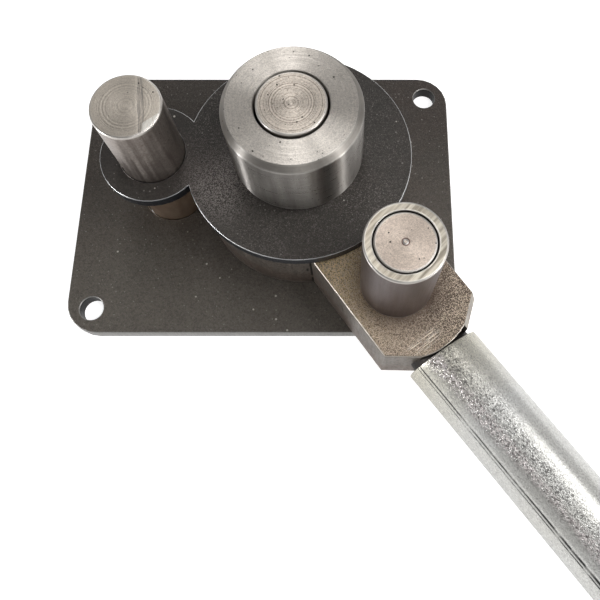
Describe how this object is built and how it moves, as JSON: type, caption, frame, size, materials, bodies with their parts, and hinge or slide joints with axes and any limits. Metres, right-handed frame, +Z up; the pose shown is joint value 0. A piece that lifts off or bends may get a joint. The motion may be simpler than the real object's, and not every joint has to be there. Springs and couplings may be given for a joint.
{
  "type": "rebar bender",
  "caption": "Bench bar bender: a plate carries an axle with a loose die ring and a stop post, and a swinging lever arm with a follower sleeve and a pipe handle.",
  "frame": {"origin": "the middle of the base plate's underside", "axes": "+Z up from the bench, +X from the stop post towards the centre axle along the plate's long side, +Y away from the user"},
  "size_m": [0.5772, 0.6476, 0.1009],
  "materials": {
    "plate_steel": "dark hot-rolled mill scale, oiled",
    "turned_steel": "turned, with fine rings on the sawn and faced ends",
    "bright_steel": "bright turned",
    "weld_metal": "as welded",
    "washer_steel": "ground",
    "arm_steel": "brown mill scale, with scratches",
    "bronze": "machined",
    "sleeve_steel": "drawn, satin, with a sawn end",
    "galvanised_steel": "hot-dip galvanised, mottled",
    "black_plastic": "moulded, matte"
  },
  "bodies": {
    "base": {"base_plate": "plate_steel", "centre_axle": "turned_steel", "stop_post": "turned_steel", "guide_plate": "plate_steel", "axle_foot_weld": "weld_metal", "post_foot_weld": "weld_metal", "post_guide_weld": "weld_metal", "lower_thrust_washer": "washer_steel", "upper_thrust_washer": "washer_steel"},
    "arm": {"swing_arm": "arm_steel", "arm_bush": "bronze", "follower_pin": "turned_steel", "follower_pin_weld": "weld_metal", "handle_spigot": "weld_metal", "handle_roll_pin": "washer_steel", "handle_pipe": "galvanised_steel", "handle_end_plug": "black_plastic"},
    "die": {"die_ring": "bright_steel"},
    "follower": {"follower_sleeve": "sleeve_steel"}
  },
  "joints": [
    {"name": "arm_swing", "type": "hinge", "parent": "base", "child": "arm", "pos_m": [0.0205, 0.003, 0.0281], "axis": [0, 0, 1], "range_deg": [-89, 196]},
    {"name": "die_spin", "type": "hinge", "parent": "base", "child": "die", "pos_m": [0.0205, 0.003, 0.076], "axis": [0, 0, 1], "continuous": true},
    {"name": "follower_spin", "type": "hinge", "parent": "arm", "child": "follower", "pos_m": [0.06649, -0.05938, 0.072], "axis": [0, 0, 1], "continuous": true}
  ]
}
